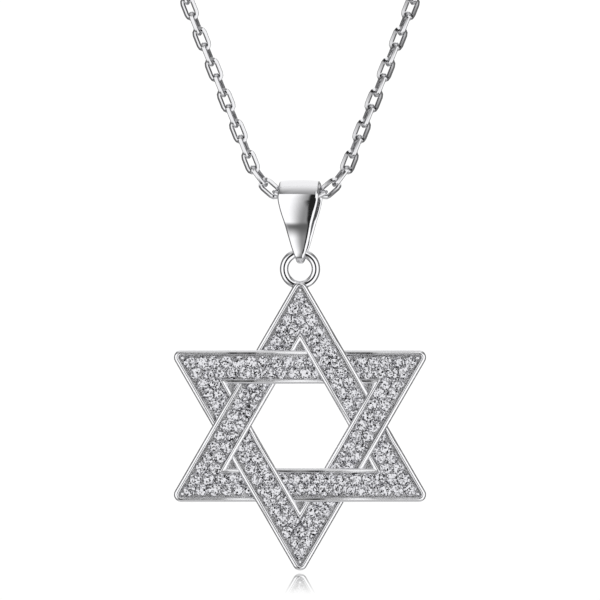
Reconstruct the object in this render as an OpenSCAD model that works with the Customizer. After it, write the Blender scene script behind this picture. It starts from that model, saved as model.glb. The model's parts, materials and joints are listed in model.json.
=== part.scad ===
/* [Star] */
// Distance from the star's centre to the outer edge of each bar
star_apothem = 8.34; // [7.5:0.1:10]
// Width of each bar of the two triangles
bar_w = 3.70; // [3:0.1:4.2]
// Thickness of the star from its back to the top of a bar's rims
star_t = 1.80; // [1.4:0.1:2.6]
// Width of the rim along each edge of a bar
rim_w = 0.52; // [0.3:0.02:0.6]
// Depth of the channel that holds the stones
channel_d = 0.30; // [0.15:0.05:0.6]
// Rise of a bar where it crosses over, and its fall where it crosses under
weave_h = 0.28; // [0.1:0.02:0.4]
// Radius of the rounded tips
tip_r = 0.80; // [0.5:0.05:1]
// Metal left between the end of a tip and the channels that meet in it
tip_rim = 0.60; // [0.4:0.05:1]
// Depth of the small sunk notch beside each tip, below the rims
notch_d = 0.70; // [0.4:0.05:1]

/* [Ring] */
// Wire of the ring that is soldered to the top tip
ring_wire = 0.95; // [0.7:0.05:1.1]
// Radius of the ring at the middle of its wire
ring_r = 1.75; // [1.7:0.05:2.4]
// Depth that the middle of the ring's wire is sunk into the top tip
ring_sink = 0.37; // [0.2:0.01:0.6]

/* [Bail] */
// Thickness of the strap that the bail is folded from
strap_t = 0.35; // [0.25:0.05:0.5]
// Inside radius of the wide arch at the top of the bail
arch_r = 1.95; // [1.95:0.05:2.3]
// Gap between the ring's wire and the strap folded round it
fold_gap = 0.325; // [0.3:0.025:0.5]
// Distance from the middle of the ring's wire up to the centre of the arch
leaf_l = 5.66; // [5:0.1:7]
// Width of the strap at the arch
leaf_w = 4.40; // [3.8:0.1:4.4]
// Angle that the bail is turned to the right about its length
bail_yaw = 12; // [0:1:12]

/* [Chain] */
// Wire that the links are bent from
link_wire = 0.46; // [0.36:0.02:0.46]
// Play between the wires of two links
link_play = 0.12; // [0.11:0.01:0.2]
// Straight stretch of each side of a link
link_straight = 1.24; // [1.2:0.02:1.6]
// Number of links on each side of the middle link
side_links = 121; // [101:2:131]
// Share of a side's links that lie in the arc at the top of the loop
arc_share = 0.43; // [0.36:0.01:0.5]
// Roll of the links about the length of the chain
link_roll = 17; // [0:1:20]

/* [Clasp] */
// Length of the clasp between the centres of its eyes
clasp_l = 7.50; // [6:0.5:10]
// Thickness of the clasp's round body
clasp_d = 1.60; // [1.4:0.1:2]

/* [Hidden] */
$fn = 72;

// A thousandth of a millimetre either way settles the loop's shape
solve_steps = 24;

link_arc_r = link_wire + link_play;
face_pitch = link_straight;
edge_pitch = link_straight + 2 * link_arc_r;

// Bend of the first links as they leave the bail: heading and roll as a share of the strand's
BEND_HEADING = 0;
BEND_ROLL = 1;
bend = [
    [0.00, 0.00],
    [0.34, 0.45],
    [0.60, 0.80],
    [0.78, 1.00],
];

arc_links = round(side_links * arc_share);
arc_start = side_links - arc_links;

function is_edge(k) = k % 2 == 1;
function pitch(k) = is_edge(k) ? edge_pitch : face_pitch;
function heading(k, strand) =
    k < len(bend) ? bend[k][BEND_HEADING] * strand
    : k <= arc_start ? strand
    : strand + (180 - strand) * (k - arc_start) / (arc_links + 1);
function roll(k) = link_roll * (k < len(bend) ? bend[k][BEND_ROLL] : 1);
function step(k, strand) = pitch(k) * [cos(heading(k, strand)), sin(heading(k, strand))];

// The places where one link hangs on the next, from the middle link up one side
function pivots(strand) = [
    for (k = 0, p = step(0, strand) / 2; k <= side_links; k = k + 1, p = p + step(k, strand)) p
];
function top_x(strand) = pivots(strand)[side_links].x;

// The strand's slope at which the two sides reach the clasp, found by halving
function solve_strand(low, high, steps) =
    let (middle = (low + high) / 2)
    steps == 0 ? middle
    : top_x(middle) > clasp_l / 2 ? solve_strand(middle, high, steps - 1)
    : solve_strand(low, middle, steps - 1);

strand = solve_strand(40, 89, solve_steps);
chain_pivots = pivots(strand);
chain_h = chain_pivots[side_links].y;

// Heights, from the inside of the clasp down
clasp_z = clasp_d / 2;
middle_link_z = clasp_z - chain_h;
// The chain's middle link hangs this far above the centre of the arch
link_lift = 0.12;
arch_z = middle_link_z - link_lift;
pivot_z = arch_z - leaf_l;
ring_z = pivot_z - ring_r;
tip_reach = 2 * star_apothem - tip_r;
star_z = ring_z - ring_r - tip_reach + ring_sink;

// Heights within the star, from its middle: the front faces up while it is built lying down
rim_z = star_t / 2;
back_z = -star_t / 2;
// Far beyond the star, for prisms that cut right through
beyond = 30;
// Bars and channels that meet at a tip end this far short of each other's far side
end_short = rim_w / 2;

// The rise and fall of a bar along its length: distance from its middle as a share of the
// distance to the inner corner of its mitre, and height as a share of weave_h
WAVE_AT = 0;
WAVE_RISE = 1;
wave = [
    [-1.00, 0],
    [-0.70, 1],
    [-0.22, 1],
    [0.22, -1],
    [0.70, -1],
    [1.00, 0],
];
mitre_s = (star_apothem - bar_w) * sqrt(3);

// The bail's outline from the front: height above the ring's wire as a share of leaf_l,
// and width as a share of leaf_w
LEAF_AT = 0;
LEAF_WIDTH = 1;
leaf = [
    [-0.22, 0.06],
    [-0.18, 0.13],
    [-0.13, 0.18],
    [0.085, 0.295],
    [0.335, 0.425],
    [0.565, 0.580],
    [0.90, 0.864],
    [1.13, 0.985],
    [1.33, 1.000],
    [1.38, 0.980],
    [1.42, 0.920],
];

// One link along X with its width along Z
module link() {
    for (side = [-1, 1]) {
        translate([0, 0, side * link_arc_r]) rotate([0, 90, 0])
            cylinder(d = link_wire, h = link_straight, center = true);
        translate([side * link_straight / 2, 0, 0]) rotate([90, 0, 0]) rotate(side * 90 - 180)
            rotate_extrude(angle = 180) translate([link_arc_r, 0]) circle(d = link_wire);
    }
}

module placed_link(k) {
    middle = k == 0 ? [0, 0] : (chain_pivots[k - 1] + chain_pivots[k]) / 2;
    translate([middle.x, 0, middle_link_z + middle.y])
        rotate([roll(k) + (is_edge(k) ? 90 : 0), -heading(k, strand), 0])
            link();
}

module chain_right() {
    color("silver") for (k = [1 : side_links]) placed_link(k);
}

module chain_left() {
    color("silver") {
        placed_link(0);
        mirror([1, 0, 0]) for (k = [1 : side_links]) placed_link(k);
    }
}

module clasp() {
    color("silver") translate([0, 0, clasp_z]) {
        rotate([0, 90, 0]) cylinder(d = clasp_d, h = clasp_l - 2 * link_arc_r, center = true);
        for (side = [-1, 1])
            translate([side * clasp_l / 2, 0, 0]) rotate([90, 0, 0])
                rotate_extrude() translate([link_arc_r, 0]) circle(d = link_wire);
    }
}

// The wedge between the other two sides of a bar's triangle, which cuts the bar to length
module ends(apothem) {
    top = beyond * sqrt(3) - 2 * apothem;
    polygon([[0, -2 * apothem], [beyond, top], [-beyond, top]]);
}

// What is taken off a sharp tip to round it: a block past the curve, less the round itself,
// which crosses the tip's sides at a slight angle
module tip_cut() {
    ease = tip_r / 16;
    middle = 2 * (star_apothem - tip_r) - ease;
    difference() {
        translate([middle + (tip_r + ease / 2) / 2, -bar_w / 2, -beyond / 2])
            cube([bar_w, bar_w, beyond]);
        translate([middle, 0, -beyond]) cylinder(r = tip_r + ease, h = 2 * beyond);
    }
}

// A prism as wide as a bar less an inset on each side, between two heights that follow the wave
module wavy_prism(inset, low, high) {
    points = [for (w = wave) [w[WAVE_AT] * mitre_s, w[WAVE_RISE] * weave_h + low]];
    translate([0, star_apothem - inset, 0]) rotate([90, 0, 0])
        linear_extrude(bar_w - 2 * inset)
            polygon(concat(
                [[-beyond, high], [-beyond, low]], points, [[beyond, low], [beyond, high]]
            ));
}

// One bar with a level back, crossing over at its left and under at its right
module bar() {
    intersection() {
        wavy_prism(0, rim_z, back_z);
        translate([0, 0, -beyond / 2]) linear_extrude(beyond)
            ends(star_apothem - end_short);
    }
}

// The channel of one bar, which stops where the next bar crosses over it
module channel() {
    difference() {
        intersection() {
            wavy_prism(rim_w, rim_z - channel_d, beyond / 2);
            translate([0, 0, -beyond / 2]) linear_extrude(beyond)
                ends(star_apothem - rim_w - end_short);
        }
        rotate(-60) translate([-beyond, star_apothem - bar_w, -beyond])
            cube([2 * beyond, bar_w, 2 * beyond]);
    }
}

// The low web that closes the notch between a tip's two bars and the bar that crosses them
module notch_floor() {
    sunk = bar_w / 8;
    base = star_apothem - sunk;
    apex = 2 * (star_apothem - bar_w) + sunk;
    half = (apex - base) / sqrt(3);
    translate([0, 0, back_z]) linear_extrude(star_t - notch_d)
        polygon([[-half, base], [half, base], [0, apex]]);
}

module ring() {
    translate([0, tip_reach + ring_r - ring_sink, 0])
        rotate_extrude() translate([ring_r, 0]) circle(d = ring_wire);
}

module star() {
    color("gainsboro") translate([0, 0, star_z]) rotate([90, 0, 0])
        difference() {
            union() {
                difference() {
                    union() for (turn = [0 : 60 : 300]) rotate(turn) bar();
                    for (turn = [30 : 60 : 330]) rotate(turn) tip_cut();
                }
                for (turn = [0 : 60 : 300]) rotate(turn) notch_floor();
                ring();
            }
            difference() {
                union() for (turn = [0 : 60 : 300]) rotate(turn) channel();
                for (turn = [30 : 60 : 330]) rotate(turn)
                    translate([tip_reach - tip_rim, -bar_w / 2, -beyond])
                        cube([bar_w, bar_w, 2 * beyond]);
            }
        }
}

// The loop that the strap follows, seen from the side: two arcs joined by straight leaves
module strap_loop(top_r, fold_r) {
    slope = asin((top_r - fold_r) / leaf_l);
    normal = [cos(slope), -sin(slope)];
    top = [0, leaf_l];
    opposite = [-normal.x, normal.y];
    polygon([
        fold_r * opposite, fold_r * normal, top + top_r * normal, top + top_r * opposite
    ]);
    circle(fold_r);
    translate(top) circle(top_r);
}

module bail() {
    fold_r = ring_wire / 2 + fold_gap;
    side = [for (row = leaf) [leaf_w / 2 * row[LEAF_WIDTH], leaf_l * row[LEAF_AT]]];
    other_side = [for (k = [len(side) - 1 : -1 : 0]) [-side[k].x, side[k].y]];
    color("whitesmoke") translate([0, 0, pivot_z]) rotate(-bail_yaw)
        intersection() {
            rotate([90, 0, 90]) linear_extrude(2 * leaf_w, center = true)
                difference() {
                    strap_loop(arch_r + strap_t, fold_r + strap_t);
                    strap_loop(arch_r, fold_r);
                }
            rotate([90, 0, 0]) linear_extrude(4 * arch_r, center = true)
                polygon(concat(side, other_side));
        }
}

chain_left();
chain_right();
clasp();
bail();
star();
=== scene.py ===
# %% [markdown]
# A star pendant on a chain, set with small stones.
# The necklace is a whole loop that hangs from the top: two sides of fine cable chain, a plain
# clasp, a folded bail, and a six-pointed star of two woven triangles with stones in sunk channels.
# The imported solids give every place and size. This lesson dresses them as polished metal and
# cut stones, and everything is worked out as numpy arrays and put into meshes in one go.

# %% Load the frame
import json

import bpy
import numpy as np
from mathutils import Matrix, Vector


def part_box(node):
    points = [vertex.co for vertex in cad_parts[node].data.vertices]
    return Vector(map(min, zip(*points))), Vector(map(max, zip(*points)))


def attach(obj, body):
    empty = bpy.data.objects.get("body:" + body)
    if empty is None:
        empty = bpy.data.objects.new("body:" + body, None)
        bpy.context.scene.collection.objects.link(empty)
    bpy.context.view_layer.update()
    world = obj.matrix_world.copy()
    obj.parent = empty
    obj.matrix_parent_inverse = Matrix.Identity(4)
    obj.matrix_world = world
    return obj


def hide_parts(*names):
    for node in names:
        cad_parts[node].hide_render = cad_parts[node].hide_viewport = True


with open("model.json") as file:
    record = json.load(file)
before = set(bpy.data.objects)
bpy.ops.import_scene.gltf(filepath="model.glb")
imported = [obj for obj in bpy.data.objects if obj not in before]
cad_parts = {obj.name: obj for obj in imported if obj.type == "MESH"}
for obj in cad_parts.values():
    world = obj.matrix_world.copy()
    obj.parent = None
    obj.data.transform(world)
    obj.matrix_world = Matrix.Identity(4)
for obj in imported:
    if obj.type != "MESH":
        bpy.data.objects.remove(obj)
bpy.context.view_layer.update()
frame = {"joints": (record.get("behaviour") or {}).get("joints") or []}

# %% [markdown]
# Jewellery is measured in millimetres and Blender works in metres, so lengths below are written
# in millimetres and multiplied once by MM when they go into a mesh. The two hinges and the star's
# box come from the frame, and they place everything else.

# %% Sizes and places
MM = 0.001
JOINT_Z = {joint["name"]: joint["pos_m"][2] / MM for joint in frame["joints"]}
ARCH_Z = JOINT_Z["bail_swing"]      # middle of the arch over the chain
PIVOT_Z = JOINT_Z["star_swing"]     # middle of the ring's wire, in the bail's fold

# The star, with the sizes of its solid
STAR_APOTHEM = 8.34     # from the centre to a bar's outer edge
BAR_W = 3.70            # width of a bar
HALF_T = 0.90           # half of its thickness
RIM_W = 0.52            # width of the rim on each edge of a bar
TIP_R = 0.80            # rounding of a tip
WEAVE_H = 0.28          # how far a bar rises and sinks
NOTCH_D = 0.70          # depth of the notch beside a tip
TIP_REACH = 2 * STAR_APOTHEM - TIP_R
STAR_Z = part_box("star")[0].z / MM + TIP_REACH
MITRE_S = (STAR_APOTHEM - BAR_W) * np.sqrt(3)

# The ring on the top tip
RING_WIRE = 0.95        # thickness of its wire
RING_R = 1.75           # radius of the wire's middle line

# The bail
STRAP_T = 0.35          # thickness of the strap
ARCH_R = 1.95           # radius inside the arch
FOLD_PLAY = 0.325       # room round the ring's wire
FOLD_R = RING_WIRE / 2 + FOLD_PLAY
LEAF_L = ARCH_Z - PIVOT_Z
BAIL_YAW = np.radians(12)

# The chain
LINK_WIRE = 0.46        # thickness of the wire
LINK_PLAY = 0.12        # room for the next link's wire
LINK_ARC_R = LINK_WIRE + LINK_PLAY
LINK_STRAIGHT = 1.24    # length of a link's straight sides
LINK_ROLL = 17          # degrees that a strand is rolled about its length
LINK_LIFT = 0.12        # how far the middle link hangs above the arch's middle
SIDE_LINKS = 121        # links on each side of the middle one
ARC_SHARE = 0.43        # share of a side that bends round behind the neck
CLASP_L = 7.50          # between the middles of the clasp's eyes
CLASP_D = 1.60          # thickness of its barrel
print("star centre at", round(STAR_Z, 2), "mm, arch at", round(ARCH_Z, 2), "mm")

# %% [markdown]
# Four helpers serve every piece. The first gives the faces of a grid of points, closed in either
# direction or in both, the second repeats a small shape's faces for all its copies, and the third
# turns points about an axis. The last gathers several surfaces in one body, as solder and casting
# do, and makes it a mesh object that sits at the origin.


# %% Mesh helpers
def grid_faces(rows, columns, wrap_rows=False, wrap_columns=False):
    """Four-cornered faces of a grid numbered row by row; a wrapped side meets its far side."""
    r = np.arange(rows if wrap_rows else rows - 1)
    c = np.arange(columns if wrap_columns else columns - 1)
    r, c = (a.ravel() for a in np.meshgrid(r, c, indexing="ij"))
    r2, c2 = (r + 1) % rows, (c + 1) % columns
    return np.stack([r * columns + c, r * columns + c2, r2 * columns + c2, r2 * columns + c], 1)


def repeat_faces(faces, count, stride):
    """The same faces for each of count copies whose points follow each other stride apart."""
    return [f + k * stride for k in range(count) for f in faces]


def rotated(x, y, angle):
    """x and y turned by an angle, from the first axis towards the second."""
    return x * np.cos(angle) - y * np.sin(angle), x * np.sin(angle) + y * np.cos(angle)


class Body:
    """Points and faces of one piece, gathered from several surfaces."""

    def __init__(self):
        """An empty body."""
        self.points, self.faces, self.slots, self.smooth, self.size = [], [], [], [], 0

    def add(self, points, faces, slot=0, smooth=True):
        """Adds points of shape (..., 3) in millimetres, and faces that count from zero.

        slot is one material slot for all the faces, or an array with one for each face.
        """
        points = np.asarray(points, float).reshape(-1, 3)
        faces = [tuple(int(i) + self.size for i in f) for f in faces]
        self.points.append(points)
        self.faces += faces
        self.slots += np.broadcast_to(slot, len(faces)).tolist()
        self.smooth += [smooth] * len(faces)
        self.size += len(points)

    def build(self, name, materials, crisp=None):
        """The piece as a mesh object at the origin, in metres.

        Edges that turn by more than crisp degrees are left sharp in the shading.
        """
        mesh = bpy.data.meshes.new(name)
        mesh.from_pydata((np.vstack(self.points) * MM).tolist(), [], self.faces)
        for material in materials:
            mesh.materials.append(material)
        mesh.polygons.foreach_set("material_index", self.slots)
        mesh.polygons.foreach_set("use_smooth", self.smooth)
        if crisp:
            mesh.set_sharp_from_angle(angle=np.radians(crisp))
        mesh.update()
        piece = bpy.data.objects.new(name, mesh)
        bpy.context.scene.collection.objects.link(piece)
        print(name, len(mesh.polygons), "faces")
        return piece


# %% [markdown]
# The metal is sterling silver under a thin bright plating of rhodium. It is a mirror: nearly
# neutral, a little darker than pure silver, and what the eye reads as metal is the studio that
# it reflects. Polishing leaves very fine marks, drawn here as a shallow bump and a slight
# unevenness of the roughness. The parts are finished in different ways, so there are five metals.
# The sunk seats and the bail's inside are also greyed, as painted shade.
#
# The stones are clear cubic zirconia, which bends light strongly. In a well cut stone most of the
# light turns back inside, so each facet flashes white or black like a small tilted mirror. A clear
# material alone would need many bounces to show that, so this one is three parts mirror and one
# part clear.


# %% Material helpers
def linear(hex_colour):
    """An sRGB hex colour as linear red, green, blue and alpha."""
    srgb = np.array([int(hex_colour[i:i + 2], 16) for i in (1, 3, 5)]) / 255
    low, high = srgb / 12.92, ((srgb + 0.055) / 1.055) ** 2.4
    return [*np.where(srgb <= 0.04045, low, high).tolist(), 1.0]


def add_node(material, kind, settings=(), **links):
    """One node with its settings on attributes or sockets, and links from other nodes' sockets."""
    node = material.node_tree.nodes.new(kind)
    for key, value in dict(settings).items():
        if key in node.inputs:
            node.inputs[key].default_value = value
        else:
            setattr(node, key, value)
    for key, source in links.items():
        material.node_tree.links.new(source, node.inputs[key.replace("_", " ")])
    return node


def new_material(name):
    """An empty material with its output node."""
    material = bpy.data.materials.new(name)
    material.use_nodes = True
    material.node_tree.nodes.clear()
    return material, material.node_tree.nodes.new("ShaderNodeOutputMaterial")


def polished_metal(name, colour, rough, mark_mm, depth_mm):
    """Polished metal: rough varies a little over the surface, and fine marks bend the light.

    The marks are a noise whose cells are mark_mm wide and depth_mm deep.
    """
    material, out = new_material(name)
    place = add_node(material, "ShaderNodeTexCoord").outputs["Object"]
    noise = add_node(
        material, "ShaderNodeTexNoise", {"Scale": 1 / (mark_mm * MM), "Detail": 2.0},
        Vector=place,
    )
    spread = add_node(
        material, "ShaderNodeMapRange",
        {"From Min": 0.3, "From Max": 0.7, "To Min": rough * 0.6, "To Max": rough * 1.5},
        Value=noise.outputs["Fac"],
    )
    relief = add_node(
        material, "ShaderNodeBump", {"Strength": 1.0, "Distance": depth_mm * MM},
        Height=noise.outputs["Fac"],
    )
    surface = add_node(
        material, "ShaderNodeBsdfPrincipled", {"Base Color": linear(colour), "Metallic": 1.0},
        Roughness=spread.outputs["Result"], Normal=relief.outputs["Normal"],
    )
    material.node_tree.links.new(surface.outputs["BSDF"], out.inputs["Surface"])
    return material


def cut_stone(name, colour, ior, mirrored, facet_mm, tilt):
    """A clear stone: light passes through it and is bent by its index, with sharp facets.

    A stone's fire comes from facets seen through facets. Flat cells facet_mm wide break the light
    up in the same way and spare thousands of faces: the normal in each is the face's own plus a
    random vector whose parts are at most tilt. mirrored is the share of the light that turns back.
    """
    material, out = new_material(name)
    place = add_node(material, "ShaderNodeTexCoord").outputs["Object"]
    cells = add_node(
        material, "ShaderNodeTexVoronoi", {"Scale": 1 / (facet_mm * MM)}, Vector=place,
    )
    spread = add_node(
        material, "ShaderNodeVectorMath", {"operation": "MULTIPLY_ADD"},
        Vector=cells.outputs["Color"],
    )
    spread.inputs[1].default_value = (2 * tilt, 2 * tilt, 2 * tilt)
    spread.inputs[2].default_value = (-tilt, -tilt, -tilt)
    leant = add_node(
        material, "ShaderNodeVectorMath", {"operation": "ADD"},
        Vector=add_node(material, "ShaderNodeNewGeometry").outputs["Normal"],
    )
    material.node_tree.links.new(spread.outputs["Vector"], leant.inputs[1])
    unit = add_node(
        material, "ShaderNodeVectorMath", {"operation": "NORMALIZE"}, Vector=leant.outputs["Vector"],
    )
    surface = add_node(
        material, "ShaderNodeBsdfPrincipled",
        {"Base Color": linear(colour), "Metallic": mirrored, "Roughness": 0.02, "IOR": ior,
         "Transmission Weight": 1.0},
        Normal=unit.outputs["Vector"],
    )
    material.node_tree.links.new(surface.outputs["BSDF"], out.inputs["Surface"])
    return material


# %% Metals and stones
# Buffed and plated: a clear mirror with the finest marks
rhodium = polished_metal(
    "rhodium_plated_silver", "#E4E4E6", rough=0.045, mark_mm=0.35, depth_mm=0.0005)
# Drawn, rolled and tumbled: a slightly softer and greyer mirror
chain_silver = polished_metal(
    "rolled_silver_wire", "#D4D4D6", rough=0.10, mark_mm=0.25, depth_mm=0.0004)
# Left from the drill: marks so deep that the floor of a channel sparkles. Its greyer colour is
# painted shade in the sunk channels and notches
drilled_seat_painted_shade = polished_metal(
    "drilled_silver_seat_painted_shade", "#D2D2D4", rough=0.30, mark_mm=0.14, depth_mm=0.04)
# Rubbed by hand with a steel: a thin bright line with soft ends
edge_silver = polished_metal(
    "burnished_silver_edge", "#E4E4E6", rough=0.15, mark_mm=0.35, depth_mm=0.0005)
# Out of the buff's reach: plated but never polished, so rougher, and its dim grey is painted shade
# in the hollow of the loop
rough_inside_painted_shade = polished_metal(
    "unpolished_silver_inside_painted_shade", "#C4C4C6", rough=0.25, mark_mm=0.30, depth_mm=0.0015)
# Cut and polished on a lap: flat facets that flash one by one
zirconia = cut_stone(
    "brilliant_cut_zirconia", "#E2E2E6", ior=2.15, mirrored=0.75, facet_mm=0.17, tilt=0.62)
print("materials:", [material.name for material in bpy.data.materials])

# %% [markdown]
# A cable chain is made by winding wire on an oval rod, cutting the rings free, hooking each
# through the last at a quarter turn, and soldering it shut. A link is therefore a round wire
# carried along an oval path. Rolling the finished chain flattens the wire on four sides, and those
# facets are what flash white along a strand. The links' places are worked out first: a bend out
# of the bail, then a straight strand, and an arc that closes the loop at the clasp.

# %% The hanging shape
ARC_LINKS = round(SIDE_LINKS * ARC_SHARE)
BEND = np.array([0.0, 0.34, 0.60, 0.78])    # first links' slopes, as shares of the strand's
SLOPE_BETWEEN = (40.0, 89.0)
SLOPE_ERROR = 1e-9


def headings(strand):
    """Slope of each link in degrees: a bend out of the bail, the strand, then a turn to level."""
    k = np.arange(SIDE_LINKS + 1)
    start = SIDE_LINKS - ARC_LINKS
    turn = strand + (180 - strand) * (k - start) / (ARC_LINKS + 1)
    slope = np.where(k > start, turn, strand)
    slope[:len(BEND)] = strand * BEND
    return slope


def pivots(strand):
    """Where each link hangs on the next: running sums of the links' lengths along their slopes."""
    slope = np.radians(headings(strand))
    length = np.where(np.arange(SIDE_LINKS + 1) % 2, LINK_STRAIGHT + 2 * LINK_ARC_R, LINK_STRAIGHT)
    length[0] /= 2
    return np.cumsum(length[:, None] * np.stack([np.cos(slope), np.sin(slope)], 1), axis=0)


def closing_slope():
    """The strand's slope at which the last link meets the clasp, found by halving an interval."""
    low, high = SLOPE_BETWEEN
    while high - low > SLOPE_ERROR:
        middle = (low + high) / 2
        low, high = (middle, high) if pivots(middle)[-1, 0] > CLASP_L / 2 else (low, middle)
    return middle


STRAND = closing_slope()
PIVOTS = pivots(STRAND)
print("strand slopes", round(STRAND, 2), "degrees; loop is", round(PIVOTS[-1, 1], 1), "mm tall")

# %% [markdown]
# All the links share one small grid of points, which is turned and moved to every place at once.
# With hundreds of links, each has only eight sides round its wire. They are the four rolled facets
# and the four corners between them, a little twisted, as the rolls meet each link at a slant.

# %% One link
LINK_STEPS = 7
FACE_SHARE, SIDE_SHARE = 0.62, 0.39     # half widths of the facets, as shares of the wire's
ROLLED_AT = np.radians(30)              # turn of the facets about the wire
corners = np.array([[1, -SIDE_SHARE], [1, SIDE_SHARE], [FACE_SHARE, 1], [-FACE_SHARE, 1]])
corners = LINK_WIRE / 2 * np.vstack([corners, -corners])
WIRE_SECTION = np.stack(rotated(corners[:, 0], corners[:, 1], ROLLED_AT), 1)


def link_grid():
    """One link along X with its width along Z: the wire's section carried along an oval.

    The oval is two half circles joined by straight sides. A point lies off the oval by the
    section's first value outwards and by its second along Y.
    """
    half = np.linspace(-np.pi / 2, np.pi / 2, LINK_STEPS)
    turn = np.concatenate([half, half + np.pi])
    centre = np.repeat([LINK_STRAIGHT / 2, -LINK_STRAIGHT / 2], LINK_STEPS)
    reach = LINK_ARC_R + WIRE_SECTION[None, :, 0]
    x = centre[:, None] + reach * np.cos(turn)[:, None]
    z = reach * np.sin(turn)[:, None]
    y = np.broadcast_to(WIRE_SECTION[:, 1], x.shape)
    return np.stack([x, y, z], -1).reshape(-1, 3)


# %% All the links
MIDDLE_LINK_Z = ARCH_Z + LINK_LIFT
ROLL_IN = [0.0, 0.45, 0.80]     # first links' rolls, as shares of the strand's
LINK_CRISP = 31


def place_links(numbers, side):
    """Every link of one side: rolled about its length, turned to its slope, set at its place."""
    grid = link_grid()
    share = np.ones(SIDE_LINKS + 1)
    share[:len(ROLL_IN)] = ROLL_IN
    roll = np.radians(LINK_ROLL * share[numbers] + 90 * (numbers % 2))
    slope = np.radians(headings(STRAND)[numbers])
    before = np.vstack([[0.0, 0.0], PIVOTS])[numbers]
    middle = np.where(numbers[:, None] == 0, 0.0, (before + PIVOTS[numbers]) / 2)
    y, up = rotated(grid[:, 1], grid[:, 2], roll[:, None])
    x, z = rotated(grid[:, 0], up, slope[:, None])
    x += middle[:, :1]
    z += middle[:, 1:] + MIDDLE_LINK_Z
    return np.stack([side * x, y, z], -1)


def chain_side(name, numbers, side):
    """One side of the chain as one body of interlocked links."""
    points = place_links(numbers, side)
    faces = grid_faces(2 * LINK_STEPS, len(WIRE_SECTION), True, True)
    faces = faces if side > 0 else faces[:, ::-1]
    body = Body()
    body.add(points, repeat_faces(faces, len(numbers), points.shape[1]))
    return body.build(name, [chain_silver], LINK_CRISP)


chain_right = chain_side("chain_right_links", np.arange(1, SIDE_LINKS + 1), 1)
chain_left = chain_side("chain_left_links", np.arange(0, SIDE_LINKS + 1), -1)

# %% [markdown]
# The clasp is out of the picture, so it is a plain barrel with a wire eye soldered at each end.
# The barrel is an outline turned about its length, and an eye is a round section carried round a
# circle. The same turning serves the ring on the star's tip.


# %% Turned shapes
def torus(centre, radius, wire, steps, sides):
    """A round wire bent to a circle in the XZ plane: radius plus the section's cosine outwards."""
    turn = np.linspace(0, 2 * np.pi, steps, endpoint=False)[:, None]
    section = np.linspace(0, 2 * np.pi, sides, endpoint=False)[None, :]
    reach = radius + wire / 2 * np.cos(section)
    y = np.broadcast_to(wire / 2 * np.sin(section), (steps, sides))
    points = np.stack([reach * np.cos(turn), y, reach * np.sin(turn)], -1)
    return points + np.array(centre), grid_faces(steps, sides, True, True)[:, ::-1]


def turned(outline, sides):
    """An outline of (along X, radius) rows turned about X, with a point at each end."""
    turn = np.linspace(0, 2 * np.pi, sides, endpoint=False)[None, :]
    along = np.broadcast_to(outline[:, :1], (len(outline), sides))
    radius = outline[:, 1:]
    points = np.stack([along, radius * np.cos(turn), radius * np.sin(turn)], -1)
    return points, grid_faces(len(outline), sides, False, True)


# %% The clasp
BARREL_HALF = CLASP_L / 2 - LINK_ARC_R
END_R = 0.35            # rounding of the barrel's ends
POINT_R = 0.001         # a turned surface closes at a point of this radius
round_end = np.linspace(0, np.pi / 2, 7)
cap = np.stack([
    BARREL_HALF - END_R + END_R * np.cos(round_end),
    CLASP_D / 2 - END_R + END_R * np.sin(round_end),
], 1)
right_half = np.vstack([[[BARREL_HALF, POINT_R]], cap])
outline = np.vstack([right_half, (right_half * [-1, 1])[::-1]])
clasp = Body()
barrel, barrel_faces = turned(outline, sides=32)
clasp.add(barrel + [0, 0, CLASP_D / 2], barrel_faces[:, ::-1])
for side in (-1, 1):
    eye_at = (side * CLASP_L / 2, 0, CLASP_D / 2)
    eye, eye_faces = torus(eye_at, LINK_ARC_R, LINK_WIRE, steps=24, sides=10)
    clasp.add(eye, eye_faces)
clasp = clasp.build("clasp_barrel", [rhodium])

# %% [markdown]
# The bail is a strap of sheet, cut as two tapered leaves and folded over a round mandrel. Its side
# view is a loop of two arcs joined by two leaves, each with a soft shoulder halfway down, and its
# front view tapers to a rounded point under the ring. The shoulder draws the dark band across the
# front, because the metal below it looks down past the bright screen. Polishing crowns the outside
# a little, so that each highlight has soft sides. The piece is a cross-section carried along the
# loop, and its width follows the height in the front view.

# %% The bail's front outline
LEAF_OUTLINE = np.array([
    # height above the ring's wire, half width
    [-1.16, 0.26],
    [-0.90, 0.40],
    [-0.45, 0.53],
    [0.59, 0.90],
    [1.81, 1.24],
    [3.42, 1.64],
    [4.20, 1.88],
    [4.86, 2.06],
    [5.80, 2.26],
    [6.40, 2.30],
    [7.96, 2.24],
])


def smooth_curve(table, at):
    """A curve through the rows of a table: cubic pieces whose slopes at a row average its sides."""
    x, y = table.T
    chord = np.diff(y) / np.diff(x)
    slope = np.concatenate([chord[:1], (chord[1:] + chord[:-1]) / 2, chord[-1:]])
    k = np.clip(np.searchsorted(x, at) - 1, 0, len(x) - 2)
    width = x[k + 1] - x[k]
    t = np.clip((at - x[k]) / width, 0, 1)
    return (
        (1 + 2 * t) * (1 - t) ** 2 * y[k] + t * (1 - t) ** 2 * width * slope[k]
        + t**2 * (3 - 2 * t) * y[k + 1] - t**2 * (1 - t) * width * slope[k + 1]
    )


# %% The bail's loop seen from the side
SHOULDER_AT = 0.42      # share of the way down a leaf to its shoulder
SHOULDER_SHARE = 0.12   # share of the leaf that the shoulder takes
GENTLE = 0.50           # slope above the shoulder, as a share of that below it
ARCH_STEPS, FOLD_STEPS, LEAF_STEPS = 41, 25, 61


def ease(x):
    """Zero below 0 and one above 1, joined by a cubic that is level at both ends."""
    x = np.clip(x, 0, 1)
    return x * x * (3 - 2 * x)


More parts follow.
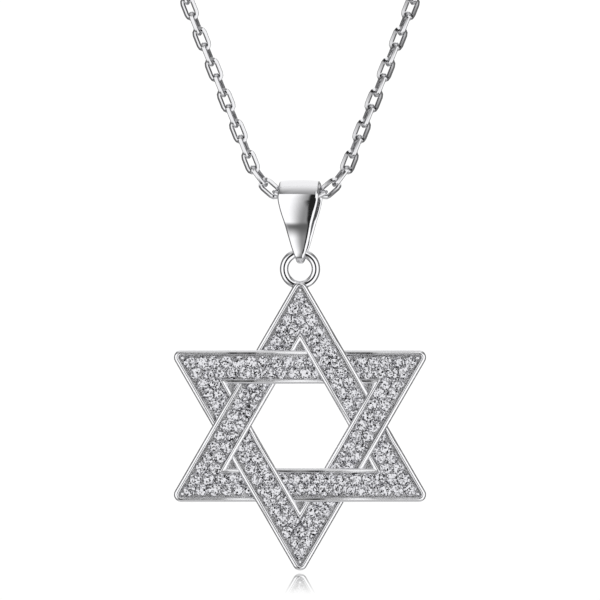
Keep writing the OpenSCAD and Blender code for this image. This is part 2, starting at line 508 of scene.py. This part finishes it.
def bail_path():
    """Middle line of the strap seen from the side, as (depth, height) points and their normals.

    An arc over the mandrel and one under the ring are joined by leaves. A leaf's slope rises slowly
    with the share of the way down, jumps at a soft shoulder, and falls to nothing at the fold, and
    its running sum takes the depth from the arch's radius to the fold's.
    """
    top_r, fold_r = ARCH_R + STRAP_T / 2, FOLD_R + STRAP_T / 2
    over = np.linspace(0, np.pi, ARCH_STEPS)
    under = np.linspace(np.pi, 2 * np.pi, FOLD_STEPS)
    share = np.linspace(0, 1, LEAF_STEPS)
    past = ease((share - SHOULDER_AT) / SHOULDER_SHARE + 0.5)
    slope = GENTLE * share / SHOULDER_AT * (1 - past) + (1 - share) / (1 - SHOULDER_AT) * past
    running = np.cumsum((slope[1:] + slope[:-1]) / 2)
    depth = top_r + (fold_r - top_r) * running[:-1] / running[-1]
    height = LEAF_L * (1 - share[1:-1])
    arch = np.stack([top_r * np.cos(over), LEAF_L + top_r * np.sin(over)], 1)
    down = np.stack([-depth, height], 1)
    fold = np.stack([fold_r * np.cos(under), fold_r * np.sin(under)], 1)
    up = np.stack([depth, height], 1)[::-1]
    points = np.vstack([arch, down, fold, up])
    ahead = np.roll(points, -1, 0) - np.roll(points, 1, 0)
    ahead /= np.linalg.norm(ahead, axis=1)[:, None]
    return points, np.stack([ahead[:, 1], -ahead[:, 0]], 1)


# %% The strap's section along the loop
CROWN = 0.060           # height of the crown, as a share of the half width
EDGE_R = 0.30           # rounding of the strap's edges, seen from the front
SKEW = np.radians(6.5)  # turn of the strap's depth, so that its front stands to the left
SWAY = 0.05             # how far the lower end hangs to the right
FLAT_STEPS, EDGE_STEPS = 15, 5


def strap_section():
    """The strap's section as (across, edge, lift) rows.

    across is a share of the half width less the rounding, edge adds the rounding itself, and lift
    is a share of the half thickness.
    """
    flat = np.linspace(-1, 1, FLAT_STEPS)
    zero, one = np.zeros(FLAT_STEPS), np.ones(FLAT_STEPS)
    round_edge = np.linspace(np.pi / 2, -np.pi / 2, EDGE_STEPS + 2)[1:-1]
    ends = np.stack([np.ones(EDGE_STEPS), np.cos(round_edge), np.sin(round_edge)], 1)
    return np.vstack([
        np.stack([flat, zero, one], 1), ends,
        np.stack([flat[::-1], zero, -one], 1), ends[::-1] * [-1, -1, 1],
    ])


def bail_points():
    """Grid of points: along the loop by round the section.

    The outside is higher by a crown that falls with the square of the way to the edge. Then the
    width is turned by BAIL_YAW and the depth by SKEW, and the lower end moves by SWAY.
    """
    path, normal = bail_path()
    half = smooth_curve(LEAF_OUTLINE, path[:, 1])[:, None]
    across, edge, lift = strap_section().T
    edge_r = np.minimum(EDGE_R, half / 2)
    x = (half - edge_r) * across + edge_r * edge
    off = STRAP_T / 2 * lift + CROWN * (half - x**2 / half) * np.maximum(lift, 0)
    y = path[:, :1] + normal[:, :1] * off
    z = path[:, 1:] + normal[:, 1:] * off
    down = 1 - z / LEAF_L
    turned_x = x * np.cos(BAIL_YAW) + y * np.sin(SKEW) + SWAY * ease(down)
    turned_y = -x * np.sin(BAIL_YAW) + y * np.cos(BAIL_YAW)
    return np.stack([turned_x, turned_y, z + PIVOT_Z], -1)


points = bail_points()
faces = grid_faces(*points.shape[:2], True, True)
column = faces[:, 0] % points.shape[1]
first_inside = FLAT_STEPS + EDGE_STEPS
# The inside of the loop takes the dimmer metal, whose grey is painted shade in the hollow.
inside = (column >= first_inside) & (column < first_inside + FLAT_STEPS - 1)
bail = Body()
bail.add(points, faces, np.where(inside, 1, 0))
bail = bail.build("bail_strap", [rhodium, rough_inside_painted_shade])

# %% [markdown]
# Each triangle of the star is one bar carried round three sides, like a picture frame. Each point
# of its cross-section, which has two rims and a channel, follows a triangle at its own distance
# from the centre, and near the outer edge the corners are rounded. To weave the two triangles,
# each bar rises where it crosses over, at its left, and sinks where it crosses under, at its
# right. The back stays almost level.

# %% The weave
CLIMB = 0.35        # share of the way to the mitre in which the wave climbs
SETTLE = 0.4        # share in which it falls to nothing again


def wave(s):
    """Height of a bar's front at s along it: up at the left crossing and down at the right.

    As a share of the way from the middle to the mitre, it climbs as a sine, stays level over the
    crossing, and eases back to nothing at the mitre.
    """
    share = np.abs(s) / MITRE_S
    swell = np.sin(np.pi / 2 * np.clip(share / CLIMB, 0, 1)) * ease((1 - share) / SETTLE)
    return -np.sign(s) * WEAVE_H * swell


# %% A bar's section
CHANNEL_D = 0.42    # depth of the channel
RIM_H = 0.24        # height of a rim's rounded top
RIM_LEAN = 0.60     # power that leans its crest towards the channel
BACK_R = 0.12       # rounding of the edges behind
BACK_WAVE = 0.05    # share of the wave that reaches the back
RIM_STEPS, BACK_STEPS = 13, 4


def bar_section():
    """The bar's section as (distance from the star's centre, height, share of the wave) rows.

    A rim is half an ellipse whose places across are raised to the power RIM_LEAN, as a share of
    the way from its far edge, so its crest stands nearer to the channel.
    """
    quarter = np.linspace(0, np.pi / 2, BACK_STEPS)
    outside = STAR_APOTHEM
    inside = STAR_APOTHEM - BAR_W
    top = HALF_T

    def rim(channel_edge, far_edge):
        """(distance, height) points of one rim, from its channel edge to its far edge."""
        around = np.linspace(0, np.pi, RIM_STEPS)
        share = ((1 + np.cos(around)) / 2) ** RIM_LEAN
        across = channel_edge + (far_edge - channel_edge) * (1 - share)
        return np.stack([across, top - RIM_H + RIM_H * np.sin(around)], 1)

    back = np.stack([BACK_R - BACK_R * np.cos(quarter), BACK_R - BACK_R * np.sin(quarter)], 1)
    parts = [
        np.stack([outside - back[::-1, 0], -top + back[::-1, 1]], 1),
        rim(outside - RIM_W, outside)[::-1],
        [[outside - RIM_W, top - CHANNEL_D], [inside + RIM_W, top - CHANNEL_D]],
        rim(inside + RIM_W, inside),
        np.stack([inside + back[:, 0], -top + back[:, 1]], 1),
    ]
    rows = np.vstack(parts)
    share = np.where(rows[:, 1] > -top + BACK_R, 1.0, BACK_WAVE)
    return np.column_stack([rows, share])


# %% A triangle
SIDE_STEPS, CORNER_STEPS, COVERED_STEPS = 48, 7, 9
LEAST_R = 0.02      # least rounding, at the inner lines' sharp corners
UNDER_LAP = 0.14    # how far a crossing bar's edges overlap what it covers
UNDER_DROP = 0.80   # depth of the covered part below the front
STEP_S = 0.05       # length in which it drops to that depth


def triangle_grid(first_tip):
    """Grid of points round one triangle: along its three sides and corners by the section.

    A side runs along X in its own frame. A corner turns by a third of a circle about a centre that
    lies on the tip's line, so that lines of the section stay parallel round it.
    """
    apothem, height, share = bar_section().T
    radius = np.maximum(TIP_R - (STAR_APOTHEM - apothem), LEAST_R)
    reach = (apothem - radius) * np.sqrt(3)
    under_in = (STAR_APOTHEM - BAR_W + UNDER_LAP - apothem / 2) / np.sin(np.pi / 3)
    under_out = (STAR_APOTHEM - UNDER_LAP - apothem / 2) / np.sin(np.pi / 3)
    s = np.vstack([
        np.linspace(-reach, under_in - STEP_S, SIDE_STEPS), under_in[None],
        np.linspace(under_in + STEP_S, under_out - STEP_S, COVERED_STEPS),
        under_out[None], np.linspace(under_out + STEP_S, reach, SIDE_STEPS // 3),
    ])
    z = height + share * wave(s)
    covered = (s > under_in + STEP_S / 2) & (s < under_out - STEP_S / 2)
    z = np.where(covered, np.minimum(z, HALF_T - UNDER_DROP), z)
    side = np.stack([s, np.broadcast_to(apothem, s.shape), z], -1)
    turn = np.linspace(0, -2 * np.pi / 3, CORNER_STEPS + 2)[1:-1, None] + np.pi / 2
    corner = np.stack([
        reach + radius * np.cos(turn),
        apothem - radius + radius * np.sin(turn),
        np.broadcast_to(height, (CORNER_STEPS, len(height))),
    ], -1)
    stretch = np.concatenate([side, corner])
    sides = []
    for k in range(3):
        x, y = rotated(stretch[..., 0], stretch[..., 1], np.radians(first_tip - 120 * k))
        sides.append(np.stack([x, y, stretch[..., 2]], -1))
    return np.concatenate(sides)


def stand_up(points):
    """From the star lying face up, in its own frame, to its place: up becomes the front."""
    return np.stack([points[..., 0], -points[..., 2], points[..., 1] + STAR_Z], -1)


# %% The two triangles
METAL, SHADED_SEAT, STONE, EDGE = range(4)             # the star's material slots
FIRST_WALL = BACK_STEPS + RIM_STEPS - 1         # the channel's wall, floor and wall start here
CHANNEL_COLUMNS = 3
star = Body()
for first in (0, 60):
    grid = triangle_grid(first)
    faces = grid_faces(*grid.shape[:2], True, True)
    column = faces[:, 0] % grid.shape[1]
    # The channel's walls and floor take the seat metal, whose greyer colour is painted shade.
    in_channel = (column >= FIRST_WALL) & (column < FIRST_WALL + CHANNEL_COLUMNS)
    star.add(stand_up(grid), faces, np.where(in_channel, SHADED_SEAT, EDGE))
print("each triangle is a grid of", grid.shape[0], "by", grid.shape[1], "points")

# %% [markdown]
# The stones are round brilliants: a table and thirty-two facets above the girdle, and twenty-four
# below that end in a point. The facets' corners are rings of points, at the angles and heights
# that a cutter uses.

# %% A round brilliant
STONE_R = 0.67          # radius of the girdle
TABLE_SHARE = 0.56      # radius of the table, as a share of the girdle's
MID_SHARE = 0.80        # radius where star and kite facets meet, as a share
LOW_SHARE = 0.25        # radius where the facets below end in a point, as a share
CROWN_H = 0.155         # height of the table above the girdle
PAVILION_H = 0.58       # depth of the point below the girdle
GIRDLE_H = 0.03         # thickness of the girdle


def brilliant():
    """Points and faces of one stone about its girdle's centre, with its table facing +Z.

    Rings of points, by radius as a share of the girdle's: the table's eight, eight between the
    star and kite facets, sixteen on each edge of the girdle, eight low ones, and the culet.
    Heights put the four corners of each kite in one plane.
    """
    eighth = np.arange(8) * np.pi / 4
    between = eighth + np.pi / 8
    sixteenth = np.arange(16) * np.pi / 8
    flat = np.cos(np.pi / 8)

    def ring(angle, share, height):
        """Points at these angles, at a share of the girdle's radius and at one height."""
        return np.stack([
            STONE_R * share * np.cos(angle), STONE_R * share * np.sin(angle),
            np.full(len(angle), height)
        ], 1)

    mid_h = CROWN_H * (1 - MID_SHARE * flat) / (1 - TABLE_SHARE)
    low_h = -GIRDLE_H - PAVILION_H * (1 - LOW_SHARE * flat)
    points = np.vstack([
        ring(eighth, TABLE_SHARE, CROWN_H), ring(between, MID_SHARE, mid_h),
        ring(sixteenth, 1, 0), ring(sixteenth, 1, -GIRDLE_H),
        ring(between, LOW_SHARE, low_h), [[0, 0, -GIRDLE_H - PAVILION_H]],
    ])
    table, mid, top, under, low, culet = 0, 8, 16, 32, 48, 56
    faces = [tuple(range(table, table + 8))]
    for k in range(8):
        after, before = (k + 1) % 8, (k - 1) % 8
        g, g1, g2 = 2 * k, 2 * k + 1, (2 * k + 2) % 16
        faces += [
            (table + k, mid + k, table + after),
            (table + k, mid + before, top + g, mid + k),
            (mid + k, top + g, top + g1), (mid + k, top + g1, top + g2),
            (top + g, under + g, under + g1, top + g1),
            (top + g1, under + g1, under + g2, top + g2),
            (under + g, low + k, under + g1), (under + g1, low + k, under + g2),
            (under + g, low + before, culet, low + k),
        ]
    return points, faces


# %% [markdown]
# The stones sit in a triangular pattern, two rows to a bar. A setter marks it out from the stone
# in each tip, and so does this lesson: a row runs along each bar at one distance from the centre,
# and the next is shifted by half a step. Places are given along the bar and out from the centre,
# as s and t. Those that another bar would cover are left out.

# %% The pattern of stones
FIRST_STONE = 14.0      # from the star's centre to the stone in a tip
ROW_STONES = 19         # places in the outer row, from tip to tip
STEP = 2 * FIRST_STONE * np.cos(np.pi / 6) / (ROW_STONES - 1)
ROW_GAP = STEP * np.sqrt(3) / 2
OUTER_ROW = FIRST_STONE / 2
INNER_ROW = OUTER_ROW - ROW_GAP
WHOLE = (np.arange(ROW_STONES) - (ROW_STONES - 1) / 2) * STEP       # places along the outer row
SHIFTED = (np.arange(ROW_STONES + 1) - ROW_STONES / 2) * STEP       # and half a step aside
PAST_MITRE = 1.0        # how far past the mitre a bar can still be covered
print("stones are", round(STEP, 3), "mm apart")


def in_sight(rows, under):
    """Rows of (places along, distance out) as s and t, without those that are covered.

    A place is covered if it lies beneath the bar that crosses at the right, by more than under.
    """
    s = np.concatenate([along for along, _ in rows])
    t = np.concatenate([np.full(len(along), out) for along, out in rows])
    across = s * np.sin(np.pi / 3) + t * np.cos(np.pi / 3)
    covered = (across > STAR_APOTHEM - BAR_W + under) & (across < STAR_APOTHEM - under)
    keep = ~(covered & (s > 0) & (s < MITRE_S + PAST_MITRE))
    return s[keep], t[keep]


# %% From one bar to the whole star
NUDGE = 0.01            # length over which the wave's slope is measured, each way


def round_the_star(s, t):
    """The same places on all six bars, as (bar's turn, s, t) with one entry for each place.

    Bars of one triangle share the places in its tips, so those that coincide are kept once.
    """
    turn = np.repeat(np.arange(6) * np.pi / 3, len(s))
    s, t = np.tile(s, 6), np.tile(t, 6)
    x, y = rotated(s, t, turn)
    triangle = np.tile(np.arange(6) % 2, (len(s) // 6, 1)).T.ravel()
    key = np.round(np.stack([x, y, triangle * 100.0], 1), 2) + 0.0
    first = np.sort(np.unique(key, axis=0, return_index=True)[1])
    return turn[first], s[first], t[first]


def set_on_bars(shape, turn, s, t, depth, spin, lean):
    """Copies of a small shape on the bars: spun about itself, leant with the wave, and placed.

    lean is a small extra tilt about X and Y for each copy, as no two stones are set alike.
    """
    slope = (wave(s + NUDGE) - wave(s - NUDGE)) / (2 * NUDGE)
    x, y = rotated(shape[:, 0], shape[:, 1], spin[:, None])
    tilt_x = slope[:, None] + lean[:, :1]
    tilt_y = lean[:, 1:]
    z = shape[:, 2] + x * tilt_x + y * tilt_y
    x = x - shape[:, 2] * tilt_x + s[:, None]
    y = y - shape[:, 2] * tilt_y + t[:, None]
    z = z + (HALF_T - depth + wave(s))[:, None]
    return np.stack([*rotated(x, y, turn[:, None]), z], -1)


# %% The stones in their places
GIRDLE_DEPTH = 0.20     # of the girdles and beads below the bars' front
LEAN = 0.08             # usual tilt of a stone, as a slope
STONE_UNDER = 0.20      # how far under a crossing bar a stone's middle may lie
# A row's last stone is the next bar's first
stone_rows = [(WHOLE[:-1], OUTER_ROW), (SHIFTED[2:-3], INNER_ROW)]
rng = np.random.default_rng(7)
turn, s, t = round_the_star(*in_sight(stone_rows, STONE_UNDER))
spin = rng.uniform(0, 2 * np.pi, len(s))
lean = rng.normal(0, LEAN, (len(s), 2))
stone, stone_faces = brilliant()
stones = set_on_bars(stone, turn, s, t, GIRDLE_DEPTH, spin, lean)
stone_faces = repeat_faces([np.array(f) for f in stone_faces], len(s), len(stone))
star.add(stand_up(stones), stone_faces, STONE, False)
print(len(s), "stones")

# %% [markdown]
# Small beads of metal hold the stones. The setter raises one between each three stones and rounds
# it off, so they stand at the middle of every triangle of the pattern. Each is a dome on a short
# stem that reaches the floor of the channel. There are hundreds, so each has few faces.

# %% Beads
BEAD_R = 0.09           # radius of the beads between stones
TIP_BEAD_R = 0.24       # radius of the one in each tip
TIP_BEAD_AT = 14.95     # its distance from the star's centre
BEAD_TOP = 0.04         # height of a bead's top above the girdles
BEAD_SIDES = 8
DOME_POINT_R = 0.004
BEAD_UNDER = 0.05       # how far under a crossing bar a bead's middle may lie
bead_rows = [
    (SHIFTED, OUTER_ROW + ROW_GAP / 3), (SHIFTED[1:-1], OUTER_ROW - ROW_GAP / 3),
    (WHOLE[2:-2], INNER_ROW + ROW_GAP / 3), (WHOLE[3:-3], INNER_ROW - ROW_GAP / 3),
]


def bead(size):
    """A dome on a stem, turned about Z: a quarter circle and then straight down to the floor."""
    quarter = np.linspace(np.pi / 2, 0, 4)
    radius = np.concatenate([[DOME_POINT_R], size * np.cos(quarter[1:]), [size]])
    height = np.concatenate([size * np.sin(quarter), [-CHANNEL_D]]) + BEAD_TOP - size
    angle = np.linspace(0, 2 * np.pi, BEAD_SIDES, endpoint=False)
    points = np.stack([
        radius[:, None] * np.cos(angle), radius[:, None] * np.sin(angle),
        np.broadcast_to(height[:, None], (len(radius), BEAD_SIDES)),
    ], -1)
    return points.reshape(-1, 3), grid_faces(len(radius), BEAD_SIDES, False, True)[:, ::-1]


tip_place = TIP_BEAD_AT * np.array([[np.sin(np.pi / 3)], [np.cos(np.pi / 3)]])
for size, places in ((BEAD_R, in_sight(bead_rows, BEAD_UNDER)), (TIP_BEAD_R, tip_place)):
    turn, s, t = round_the_star(*places)
    dome, dome_faces = bead(size)
    still = np.zeros((len(s), 2))
    beads = set_on_bars(dome, turn, s, t, GIRDLE_DEPTH, np.zeros(len(s)), still)
    star.add(stand_up(beads), repeat_faces(dome_faces, len(s), len(dome)), METAL)
    print(len(s), "beads of", size, "mm radius")

# %% [markdown]
# Between each tip's two bars and the bar that crosses them is a small sunk notch. On a cast star a
# thin web of metal closes it, so a three-sided plug with a hollow top stands in each notch and
# reaches a little way into the bars.

# %% Webs
WEB_LAP = 0.3           # how far a web reaches into the bars
WEB_HOLLOW = 0.25       # depth of the hollow in its top
WEB_BACK = 0.05         # how far its back lies inside the star's
web_top = HALF_T - NOTCH_D + WEB_HOLLOW
web_back = WEB_BACK - HALF_T
apex = 2 * (STAR_APOTHEM - BAR_W) + WEB_LAP
base = STAR_APOTHEM - WEB_LAP
half = (apex - base) / np.sqrt(3)
web = np.array([
    [-half, base, web_top], [half, base, web_top], [0, apex, web_top],
    [0, (2 * base + apex) / 3, HALF_T - NOTCH_D],
    [-half, base, web_back], [half, base, web_back], [0, apex, web_back],
])
web_faces = [(0, 1, 3), (1, 2, 3), (2, 0, 3), (6, 5, 4), (0, 4, 5, 1), (1, 5, 6, 2), (2, 6, 4, 0)]
# The webs take the seat metal as well, greyed as painted shade in the notches.
for turn in np.arange(6) * np.pi / 3:
    x, y = rotated(web[:, 0], web[:, 1], turn)
    star.add(stand_up(np.stack([x, y, web[:, 2]], 1)), web_faces, SHADED_SEAT, False)

# %% [markdown]
# The ring is round wire soldered into the top tip, with the same turned shape as the clasp's eyes.
# With it the star is one body, whose faces carry four materials. Its facets and edges stay sharp
# in the shading, and what turns by less is smooth.

# %% The ring and the finished star
RING_SUNK = 0.37        # how far the ring's middle line is sunk into the tip
STAR_CRISP = 50
ring_z = STAR_Z + TIP_REACH + RING_R - RING_SUNK
ring, ring_faces = torus((0, 0, ring_z), RING_R, RING_WIRE, steps=72, sides=20)
star.add(ring, ring_faces, METAL)
star_materials = [rhodium, drilled_seat_painted_shade, zirconia, edge_silver]
star = star.build("star_set_with_stones", star_materials, STAR_CRISP)

# %% [markdown]
# The frame moves three bodies: the chain, the bail and the star. Each piece rides on one of them
# and stands for the solid whose place it takes, which stays in the simulation for its weight.

# %% Hand the pieces to the frame
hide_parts("chain_right")
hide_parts("chain_left")
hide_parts("clasp")
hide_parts("bail")
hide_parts("star")
for piece, body, slot in (
    (chain_right, "chain", "chain_silver"), (chain_left, "chain", "chain_silver"),
    (clasp, "chain", "chain_silver"), (bail, "bail", "polished_silver"),
    (star, "star", "polished_silver"),
):
    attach(piece, body)
    print(piece.name, "rides on", body, "with the finish", slot)

# %% [markdown]
# A photograph of polished silver is a picture of the studio around it. The studio here is painted
# on the world by direction, because a painted shape costs nothing and has no far side. A wide
# white screen stands in front, shaded left of its middle, and runs down towards the floor. In its
# middle is the dark hole that the camera looks through, and beside that hangs a narrow black flag.
# Grey walls stand round the screen under a white ceiling. The hole draws the dark line along the
# crest of every round wire, the walls draw its outlines, and the flag draws the black stripe down
# the bail. The camera itself sees a plain white backdrop.
#
# The shapes are products of soft steps: a step goes from 0 to 1 across an edge, and a product is
# bright only where all its steps are. An edge is a pair of values, where the step starts and ends.

# %% Tools for the studio
world = bpy.data.worlds.new("photo_studio")
bpy.context.scene.world = world
world.use_nodes = True
world.node_tree.nodes.clear()


def calc(operation, *values, on=world):
    """One sum, on the world or on a material: values are numbers or sockets."""
    node = add_node(on, "ShaderNodeMath", {"operation": operation})
    for i, value in enumerate(values):
        if isinstance(value, (int, float)):
            node.inputs[i].default_value = value
        else:
            on.node_tree.links.new(value, node.inputs[i])
    return node.outputs["Value"]


def times(*factors, on=world):
    """The product of numbers and sockets, in turn."""
    product = factors[0]
    for factor in factors[1:]:
        product = calc("MULTIPLY", product, factor, on=on)
    return product


def soft_step(value, edge, low=0.0, high=1.0, kind="SMOOTHSTEP", on=world):
    """From low to high as the value crosses the edge, eased at both ends unless kind is LINEAR."""
    return add_node(
        on, "ShaderNodeMapRange",
        {"interpolation_type": kind, "From Min": edge[0], "From Max": edge[1],
         "To Min": low, "To Max": high},
        Value=value,
    ).outputs["Result"]


def blend(share, first, second):
    """first where the share is 0 and second where it is 1."""
    return calc("ADD", times(first, calc("SUBTRACT", 1.0, share)), times(second, share))


# %% Directions in the studio
toward = add_node(world, "ShaderNodeSeparateXYZ", {}, Vector=add_node(
    world, "ShaderNodeTexCoord").outputs["Generated"])
steep = calc("ABSOLUTE", toward.outputs["Z"])           # how far up or down it points
ahead = times(toward.outputs["Y"], -1.0)
off_axis = calc("ARCCOSINE", ahead)                     # angle from straight ahead
rise = calc("ABSOLUTE", calc("ARCSINE", toward.outputs["Z"]))   # angle above or below the horizon
swing = calc("ARCTAN2", toward.outputs["X"], ahead)     # angle to the right of straight ahead
aside = calc("ABSOLUTE", swing)
over = calc("ARCTAN2", steep, ahead)                    # angle from ahead to overhead
upright = calc("DIVIDE", steep, calc("SINE", off_axis))     # 1 above and below, 0 at the sides
upward = calc("GREATER_THAN", toward.outputs["Z"], 0.0)
below = calc("SUBTRACT", 1.0, upward)
left_only = calc("LESS_THAN", swing, 0.0)

# %% [markdown]
# The room comes first: what a polished surface shows where it sees neither the screen nor the
# hole. The ceiling brightens towards the back and the ground is lit beyond the stand, so that
# curved tops and undersides shade from grey to white. Behind the pendant is the white backdrop.

# %% The room
CEILING_EDGE = np.radians([36, 100])    # the ceiling brightens over this angle
GROUND_EDGE = np.radians([54, 70])      # and the ground over this one
SIDE_EDGE = np.radians([36, 44])        # where the side walls begin
LOW_EDGE, HIGH_EDGE = (0.35, 0.80), (0.70, 0.98)    # of the side walls, in upright
BEHIND_EDGE = np.radians([164, 170])    # where the backdrop begins
WALL, SIDE_WALL, CEILING = 0.36, 0.20, 1.12
GROUND, LIT_GROUND = 0.14, 0.70
roof = soft_step(over, CEILING_EDGE, WALL, CEILING)
ground = soft_step(over, GROUND_EDGE, GROUND, LIT_GROUND)
sides = calc("MAXIMUM", soft_step(aside, SIDE_EDGE), soft_step(upright, LOW_EDGE, 1.0, 0.0))
sides = times(sides, soft_step(upright, HIGH_EDGE, 1.0, 0.0))
walls = blend(sides, blend(upward, ground, roof), SIDE_WALL)
studio = blend(soft_step(off_axis, BEHIND_EDGE), walls, 1.0)

# %% [markdown]
# The screen is a wide rectangle with rounded corners, where the fourth powers of swing and rise,
# as shares of its half width and height, add up to one. It dims on its left towards the flag, and
# more so low down, which draws the grey shade across the bail. A curtain carries it on above in a
# narrow strip and below in a broad one, and its foot fades out on the left.

# %% The screen
SCREEN = 1.35                           # brightness of the screen
SCREEN_WIDE = np.radians(80)            # half width
SCREEN_HIGH = np.radians(38)            # half height
SCREEN_EDGE = (0.85, 1.10)              # in the sum of fourth powers
DIM = np.radians([-31.0, -15.5])        # where it dims towards the flag
DIM_SHARE = 0.76
DIM_LEAN = 0.18                         # how much further left that lies for each angle below
FOOT = np.radians([28.0, 50.0])         # where it fades out below, on the left
NARROW_LEFT, NARROW_RIGHT = (-0.17, -0.12), (0.40, 0.50)    # edges of the strip above
BROAD = (1.3, 1.4)                      # edge of the strip below
CURTAIN_END = (0.9, 1.0)                # the rise at which both strips end
leaning = calc("ADD", swing, times(rise, DIM_LEAN, below))
dim = times(soft_step(leaning, DIM, 0.0, DIM_SHARE), left_only)
screen = times(calc("SUBTRACT", 1.0, dim), SCREEN)
corner = calc("ADD", calc("POWER", calc("DIVIDE", aside, SCREEN_WIDE), 4.0),
              calc("POWER", calc("DIVIDE", rise, SCREEN_HIGH), 4.0))
framed = soft_step(corner, SCREEN_EDGE, 1.0, 0.0)
narrow = times(soft_step(swing, NARROW_LEFT), soft_step(swing, NARROW_RIGHT, 1.0, 0.0))
curtain = times(blend(below, narrow, soft_step(aside, BROAD, 1.0, 0.0)),
                soft_step(rise, CURTAIN_END, 1.0, 0.0))
foot = times(soft_step(rise, FOOT), below, left_only)
on_screen = times(calc("MAXIMUM", framed, curtain), calc("SUBTRACT", 1.0, foot))
studio = blend(on_screen, studio, screen)

# %% [markdown]
# Last come the dark shapes, which give polished metal its contrast: the hole that the camera looks
# through, and the black flag beside it. The flag is as high as the screen, and longer below.

# %% The flag, the hole and the finished studio
FLAG = np.radians([-16.5, -3.0])        # left and right edge of the flag
FLAG_SOFT = np.radians([-1.0, 1.0])     # softness of those edges
FLAG_END = (0.9, 1.1)                   # the rise at which it ends below
HOLE = np.radians(18)                   # radius of the camera's hole
HOLE_EDGE = HOLE * np.array([0.85, 1.15])
HOLE_DARK, BACKDROP = 0.02, 1.05
flag = times(soft_step(swing, FLAG[0] + FLAG_SOFT),
             soft_step(swing, FLAG[1] + FLAG_SOFT, 1.0, 0.0))
reach = blend(below, framed, soft_step(rise, FLAG_END, 1.0, 0.0))
dark = calc("MAXIMUM", times(flag, reach), soft_step(off_axis, HOLE_EDGE, 1.0, 0.0))
studio = blend(dark, studio, HOLE_DARK)
seen = add_node(world, "ShaderNodeLightPath").outputs["Is Camera Ray"]
sky = add_node(
    world, "ShaderNodeBackground", {"Color": linear("#FFFFFF")},
    Strength=blend(seen, studio, BACKDROP),
)
add_node(world, "ShaderNodeOutputWorld", {}, Surface=sky.outputs["Background"])
bpy.context.scene.view_settings.view_transform = "Standard"
print("the studio is a map of", len(world.node_tree.nodes), "nodes")

# %% [markdown]
# The floor is a white sheet just under the lowest tip. It is lit evenly and has a narrow glossy
# strip in front of the pendant. The camera looks along it, so the strip mirrors the tip: strongly
# where the tip almost touches it, and fading towards the front. From above it is plain white.

# %% The sheet's material
STRIP_AHEAD = np.array([-70.0, -6.0])   # the strip grows from nothing to full over this depth
STRIP_BEHIND = np.array([0.0, 4.0])     # and fades out again over this one
STRIP_ASIDE = np.array([3.0, 7.0])      # it fades out this far to either side
sheet, out = new_material("white_gloss_sheet")
glow = add_node(sheet, "ShaderNodeEmission", {"Color": linear("#FFFFFF"), "Strength": 1.03})
shine = add_node(sheet, "ShaderNodeBsdfGlossy", {"Color": linear("#FFFFFF"), "Roughness": 0.02})
place = add_node(sheet, "ShaderNodeSeparateXYZ", {}, Vector=add_node(
    sheet, "ShaderNodeTexCoord").outputs["Object"])
x, y = place.outputs["X"], place.outputs["Y"]
strip = times(
    soft_step(y, STRIP_AHEAD * MM, 0.0, 1.0, "LINEAR", sheet),
    soft_step(y, STRIP_BEHIND * MM, 1.0, 0.0, "LINEAR", sheet),
    soft_step(times(x, x, on=sheet), (STRIP_ASIDE * MM) ** 2, 1.0, 0.0, "LINEAR", sheet),
    add_node(sheet, "ShaderNodeFresnel", {"IOR": 1.5}).outputs["Fac"],
    on=sheet,
)
mixed = add_node(sheet, "ShaderNodeMixShader", {}, Fac=strip)
sheet.node_tree.links.new(glow.outputs["Emission"], mixed.inputs[1])
sheet.node_tree.links.new(shine.outputs["BSDF"], mixed.inputs[2])
sheet.node_tree.links.new(mixed.outputs["Shader"], out.inputs["Surface"])

# %% The floor
FLOOR_HALF = 4000.0
FLOOR_GAP = 0.19        # between the lowest tip and the floor
floor_z = STAR_Z - TIP_REACH - FLOOR_GAP
square = np.array([(-1, -1, 0), (1, -1, 0), (1, 1, 0), (-1, 1, 0)])
floor = Body()
floor.add(square * FLOOR_HALF + [0, 0, floor_z], [(0, 1, 2, 3)])
floor = floor.build("floor", [sheet])
floor.visible_glossy = False
floor.visible_transmission = False

# %% [markdown]
# The camera looks level at the middle of the picture from far away with a long lens, so that the
# pendant keeps its true proportions.

# %% Camera
SENSOR = 36.0           # width of the camera's sensor
FIELD = 66.0            # width of the picture at the pendant
LOOK_ABOVE_STAR = 13.85     # height of the picture's middle above the star's
CAMERA_DISTANCE = 900.0
NEAREST, FURTHEST = 10.0, 20000.0
look_z = STAR_Z + LOOK_ABOVE_STAR
lens = bpy.data.cameras.new("long_lens")
lens.sensor_width = SENSOR
lens.lens = SENSOR * CAMERA_DISTANCE / FIELD
lens.clip_start, lens.clip_end = NEAREST * MM, FURTHEST * MM
camera = bpy.data.objects.new("camera", lens)
camera.location = (0, -CAMERA_DISTANCE * MM, look_z * MM)
camera.rotation_euler = (np.pi / 2, 0, 0)
bpy.context.scene.collection.objects.link(camera)
bpy.context.scene.camera = camera
print("the lens is", round(lens.lens), "mm long")
